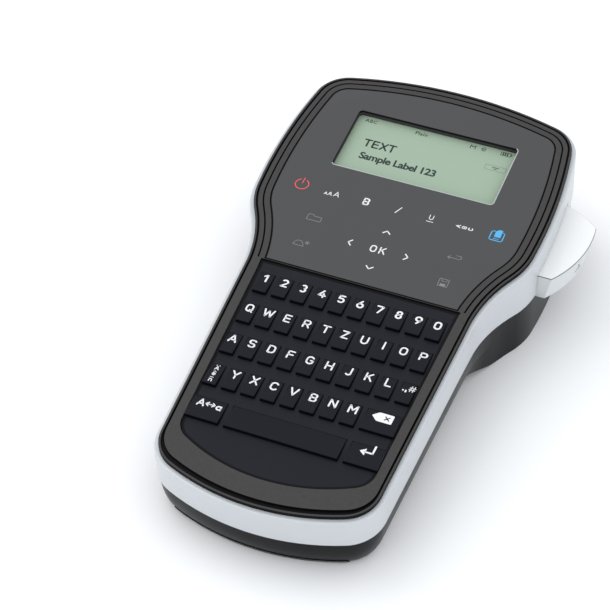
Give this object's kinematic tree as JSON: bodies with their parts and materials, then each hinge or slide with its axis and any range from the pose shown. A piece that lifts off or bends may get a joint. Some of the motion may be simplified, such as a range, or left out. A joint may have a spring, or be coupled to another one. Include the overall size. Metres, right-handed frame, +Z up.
{
  "type": "label maker",
  "caption": "Handheld label maker with a wide head, display, rubber keyboard, side cutter lever and covers underneath.",
  "frame": {"origin": "middle of the resting face under the head, on the table plane", "axes": "+X to the right as the user reads the display, +Y from the grip to the head along the table, +Z up; the key deck slopes up towards the head"},
  "size_m": [0.1207, 0.2058, 0.0471],
  "materials": {
    "base_black": "satin moulded, fine spark texture",
    "band_silver": "satin silver paint",
    "bezel_grey": "fine leather texture",
    "panel_film": "printed matt film",
    "display_glass": "reflective liquid crystal",
    "keypad_rubber": "matt silicone",
    "key_rubber": "matt silicone, printed legends",
    "board_green": "solder mask",
    "motor_steel": "drawn can",
    "heat_sink": "cast",
    "cassette_plastic": "moulded",
    "battery_wrap": "shrink wrap",
    "cover_black": "satin moulded, fine spark texture",
    "lever_white": "smooth white",
    "blade_steel": "ground",
    "platen_rubber": "ground rubber",
    "gear_plastic": "acetal",
    "pinion_brass": "turned"
  },
  "bodies": {
    "case": {"base_case": "base_black", "side_band": "band_silver", "top_bezel": "bezel_grey", "control_panel": "panel_film", "display_module": "display_glass", "keypad_mat": "keypad_rubber", "circuit_board": "board_green", "drive_motor": "motor_steel", "print_head": "heat_sink", "tape_cassette": "cassette_plastic", "battery_pack": "battery_wrap"},
    "battery_door": {"battery_cover": "cover_black"},
    "cassette_lid": {"cassette_cover": "cover_black"},
    "lever": {"cutter_lever": "lever_white", "cutter_blade": "blade_steel"},
    "platen": {"platen_roller": "platen_rubber"},
    "idler": {"idler_gear": "gear_plastic"},
    "pinion": {"motor_pinion": "pinion_brass"},
    "key_one_body": {"key_one": "key_rubber"},
    "key_two_body": {"key_two": "key_rubber"},
    "key_three_body": {"key_three": "key_rubber"},
    "key_four_body": {"key_four": "key_rubber"},
    "key_five_body": {"key_five": "key_rubber"},
    "key_six_body": {"key_six": "key_rubber"},
    "key_seven_body": {"key_seven": "key_rubber"},
    "key_eight_body": {"key_eight": "key_rubber"},
    "key_nine_body": {"key_nine": "key_rubber"},
    "key_zero_body": {"key_zero": "key_rubber"},
    "key_q_body": {"key_q": "key_rubber"},
    "key_w_body": {"key_w": "key_rubber"},
    "key_e_body": {"key_e": "key_rubber"},
    "key_r_body": {"key_r": "key_rubber"},
    "key_t_body": {"key_t": "key_rubber"},
    "key_z_body": {"key_z": "key_rubber"},
    "key_u_body": {"key_u": "key_rubber"},
    "key_i_body": {"key_i": "key_rubber"},
    "key_o_body": {"key_o": "key_rubber"},
    "key_p_body": {"key_p": "key_rubber"},
    "key_a_body": {"key_a": "key_rubber"},
    "key_s_body": {"key_s": "key_rubber"},
    "key_d_body": {"key_d": "key_rubber"},
    "key_f_body": {"key_f": "key_rubber"},
    "key_g_body": {"key_g": "key_rubber"},
    "key_h_body": {"key_h": "key_rubber"},
    "key_j_body": {"key_j": "key_rubber"},
    "key_k_body": {"key_k": "key_rubber"},
    "key_l_body": {"key_l": "key_rubber"},
    "key_symbols_body": {"key_symbols": "key_rubber"},
    "key_accents_body": {"key_accents": "key_rubber"},
    "key_y_body": {"key_y": "key_rubber"},
    "key_x_body": {"key_x": "key_rubber"},
    "key_c_body": {"key_c": "key_rubber"},
    "key_v_body": {"key_v": "key_rubber"},
    "key_b_body": {"key_b": "key_rubber"},
    "key_n_body": {"key_n": "key_rubber"},
    "key_m_body": {"key_m": "key_rubber"},
    "key_backspace_body": {"key_backspace": "key_rubber"},
    "key_case_shift_body": {"key_case_shift": "key_rubber"},
    "key_space_body": {"key_space": "key_rubber"},
    "key_enter_body": {"key_enter": "key_rubber"}
  },
  "joints": [
    {"name": "battery_cover_slide", "type": "slide", "parent": "case", "child": "battery_door", "axis": [0, -0.9945, -0.1045], "range_m": [0, 0.1]},
    {"name": "cassette_cover_hinge", "type": "hinge", "parent": "case", "child": "cassette_lid", "pos_m": [0, 0.06621, 0.00149], "axis": [1, 0, 0], "range_deg": [0, 100]},
    {"name": "cutter_lever_hinge", "type": "hinge", "parent": "case", "child": "lever", "pos_m": [0.043, 0.009, 0.02436], "axis": [0, -0.1045, 0.9945], "range_deg": [0, 14], "stiffness_Nm_per_rad": 1.2},
    {"name": "idler_spin", "type": "hinge", "parent": "case", "child": "idler", "pos_m": [0.00718, 0.00807, 0.02848], "axis": [0, -0.1045, 0.9945], "continuous": true},
    {"name": "platen_spin", "type": "hinge", "parent": "case", "child": "platen", "pos_m": [0.023, 0.02796, 0.03057], "axis": [0, -0.1045, 0.9945], "continuous": true},
    {"name": "pinion_spin", "type": "hinge", "parent": "case", "child": "pinion", "pos_m": [0.018, -0.00685, 0.02691], "axis": [0, -0.1045, 0.9945], "continuous": true},
    {"name": "key_one_press", "type": "slide", "parent": "case", "child": "key_one_body", "axis": [0, 0.1045, -0.9945], "range_m": [0, 0.001], "stiffness_N_per_m": 1000},
    {"name": "key_two_press", "type": "slide", "parent": "case", "child": "key_two_body", "axis": [0, 0.1045, -0.9945], "range_m": [0, 0.001], "stiffness_N_per_m": 1000},
    {"name": "key_three_press", "type": "slide", "parent": "case", "child": "key_three_body", "axis": [0, 0.1045, -0.9945], "range_m": [0, 0.001], "stiffness_N_per_m": 1000},
    {"name": "key_four_press", "type": "slide", "parent": "case", "child": "key_four_body", "axis": [0, 0.1045, -0.9945], "range_m": [0, 0.001], "stiffness_N_per_m": 1000},
    {"name": "key_five_press", "type": "slide", "parent": "case", "child": "key_five_body", "axis": [0, 0.1045, -0.9945], "range_m": [0, 0.001], "stiffness_N_per_m": 1000},
    {"name": "key_six_press", "type": "slide", "parent": "case", "child": "key_six_body", "axis": [0, 0.1045, -0.9945], "range_m": [0, 0.001], "stiffness_N_per_m": 1000},
    {"name": "key_seven_press", "type": "slide", "parent": "case", "child": "key_seven_body", "axis": [0, 0.1045, -0.9945], "range_m": [0, 0.001], "stiffness_N_per_m": 1000},
    {"name": "key_eight_press", "type": "slide", "parent": "case", "child": "key_eight_body", "axis": [0, 0.1045, -0.9945], "range_m": [0, 0.001], "stiffness_N_per_m": 1000},
    {"name": "key_nine_press", "type": "slide", "parent": "case", "child": "key_nine_body", "axis": [0, 0.1045, -0.9945], "range_m": [0, 0.001], "stiffness_N_per_m": 1000},
    {"name": "key_zero_press", "type": "slide", "parent": "case", "child": "key_zero_body", "axis": [0, 0.1045, -0.9945], "range_m": [0, 0.001], "stiffness_N_per_m": 1000},
    {"name": "key_q_press", "type": "slide", "parent": "case", "child": "key_q_body", "axis": [0, 0.1045, -0.9945], "range_m": [0, 0.001], "stiffness_N_per_m": 1000},
    {"name": "key_w_press", "type": "slide", "parent": "case", "child": "key_w_body", "axis": [0, 0.1045, -0.9945], "range_m": [0, 0.001], "stiffness_N_per_m": 1000},
    {"name": "key_e_press", "type": "slide", "parent": "case", "child": "key_e_body", "axis": [0, 0.1045, -0.9945], "range_m": [0, 0.001], "stiffness_N_per_m": 1000},
    {"name": "key_r_press", "type": "slide", "parent": "case", "child": "key_r_body", "axis": [0, 0.1045, -0.9945], "range_m": [0, 0.001], "stiffness_N_per_m": 1000},
    {"name": "key_t_press", "type": "slide", "parent": "case", "child": "key_t_body", "axis": [0, 0.1045, -0.9945], "range_m": [0, 0.001], "stiffness_N_per_m": 1000},
    {"name": "key_z_press", "type": "slide", "parent": "case", "child": "key_z_body", "axis": [0, 0.1045, -0.9945], "range_m": [0, 0.001], "stiffness_N_per_m": 1000},
    {"name": "key_u_press", "type": "slide", "parent": "case", "child": "key_u_body", "axis": [0, 0.1045, -0.9945], "range_m": [0, 0.001], "stiffness_N_per_m": 1000},
    {"name": "key_i_press", "type": "slide", "parent": "case", "child": "key_i_body", "axis": [0, 0.1045, -0.9945], "range_m": [0, 0.001], "stiffness_N_per_m": 1000},
    {"name": "key_o_press", "type": "slide", "parent": "case", "child": "key_o_body", "axis": [0, 0.1045, -0.9945], "range_m": [0, 0.001], "stiffness_N_per_m": 1000},
    {"name": "key_p_press", "type": "slide", "parent": "case", "child": "key_p_body", "axis": [0, 0.1045, -0.9945], "range_m": [0, 0.001], "stiffness_N_per_m": 1000},
    {"name": "key_a_press", "type": "slide", "parent": "case", "child": "key_a_body", "axis": [0, 0.1045, -0.9945], "range_m": [0, 0.001], "stiffness_N_per_m": 1000},
    {"name": "key_s_press", "type": "slide", "parent": "case", "child": "key_s_body", "axis": [0, 0.1045, -0.9945], "range_m": [0, 0.001], "stiffness_N_per_m": 1000},
    {"name": "key_d_press", "type": "slide", "parent": "case", "child": "key_d_body", "axis": [0, 0.1045, -0.9945], "range_m": [0, 0.001], "stiffness_N_per_m": 1000},
    {"name": "key_f_press", "type": "slide", "parent": "case", "child": "key_f_body", "axis": [0, 0.1045, -0.9945], "range_m": [0, 0.001], "stiffness_N_per_m": 1000},
    {"name": "key_g_press", "type": "slide", "parent": "case", "child": "key_g_body", "axis": [0, 0.1045, -0.9945], "range_m": [0, 0.001], "stiffness_N_per_m": 1000},
    {"name": "key_h_press", "type": "slide", "parent": "case", "child": "key_h_body", "axis": [0, 0.1045, -0.9945], "range_m": [0, 0.001], "stiffness_N_per_m": 1000},
    {"name": "key_j_press", "type": "slide", "parent": "case", "child": "key_j_body", "axis": [0, 0.1045, -0.9945], "range_m": [0, 0.001], "stiffness_N_per_m": 1000},
    {"name": "key_k_press", "type": "slide", "parent": "case", "child": "key_k_body", "axis": [0, 0.1045, -0.9945], "range_m": [0, 0.001], "stiffness_N_per_m": 1000},
    {"name": "key_l_press", "type": "slide", "parent": "case", "child": "key_l_body", "axis": [0, 0.1045, -0.9945], "range_m": [0, 0.001], "stiffness_N_per_m": 1000},
    {"name": "key_symbols_press", "type": "slide", "parent": "case", "child": "key_symbols_body", "axis": [0, 0.1045, -0.9945], "range_m": [0, 0.001], "stiffness_N_per_m": 1000},
    {"name": "key_accents_press", "type": "slide", "parent": "case", "child": "key_accents_body", "axis": [0, 0.1045, -0.9945], "range_m": [0, 0.001], "stiffness_N_per_m": 1000},
    {"name": "key_y_press", "type": "slide", "parent": "case", "child": "key_y_body", "axis": [0, 0.1045, -0.9945], "range_m": [0, 0.001], "stiffness_N_per_m": 1000},
    {"name": "key_x_press", "type": "slide", "parent": "case", "child": "key_x_body", "axis": [0, 0.1045, -0.9945], "range_m": [0, 0.001], "stiffness_N_per_m": 1000},
    {"name": "key_c_press", "type": "slide", "parent": "case", "child": "key_c_body", "axis": [0, 0.1045, -0.9945], "range_m": [0, 0.001], "stiffness_N_per_m": 1000},
    {"name": "key_v_press", "type": "slide", "parent": "case", "child": "key_v_body", "axis": [0, 0.1045, -0.9945], "range_m": [0, 0.001], "stiffness_N_per_m": 1000},
    {"name": "key_b_press", "type": "slide", "parent": "case", "child": "key_b_body", "axis": [0, 0.1045, -0.9945], "range_m": [0, 0.001], "stiffness_N_per_m": 1000},
    {"name": "key_n_press", "type": "slide", "parent": "case", "child": "key_n_body", "axis": [0, 0.1045, -0.9945], "range_m": [0, 0.001], "stiffness_N_per_m": 1000},
    {"name": "key_m_press", "type": "slide", "parent": "case", "child": "key_m_body", "axis": [0, 0.1045, -0.9945], "range_m": [0, 0.001], "stiffness_N_per_m": 1000},
    {"name": "key_backspace_press", "type": "slide", "parent": "case", "child": "key_backspace_body", "axis": [0, 0.1045, -0.9945], "range_m": [0, 0.001], "stiffness_N_per_m": 1000},
    {"name": "key_case_shift_press", "type": "slide", "parent": "case", "child": "key_case_shift_body", "axis": [0, 0.1045, -0.9945], "range_m": [0, 0.001], "stiffness_N_per_m": 1000},
    {"name": "key_space_press", "type": "slide", "parent": "case", "child": "key_space_body", "axis": [0, 0.1045, -0.9945], "range_m": [0, 0.001], "stiffness_N_per_m": 1000},
    {"name": "key_enter_press", "type": "slide", "parent": "case", "child": "key_enter_body", "axis": [0, 0.1045, -0.9945], "range_m": [0, 0.001], "stiffness_N_per_m": 1000}
  ],
  "couplings": [
    {"joint": "platen_spin", "follows": "idler_spin", "ratio": -1.55},
    {"joint": "pinion_spin", "follows": "idler_spin", "ratio": -5.1667}
  ]
}
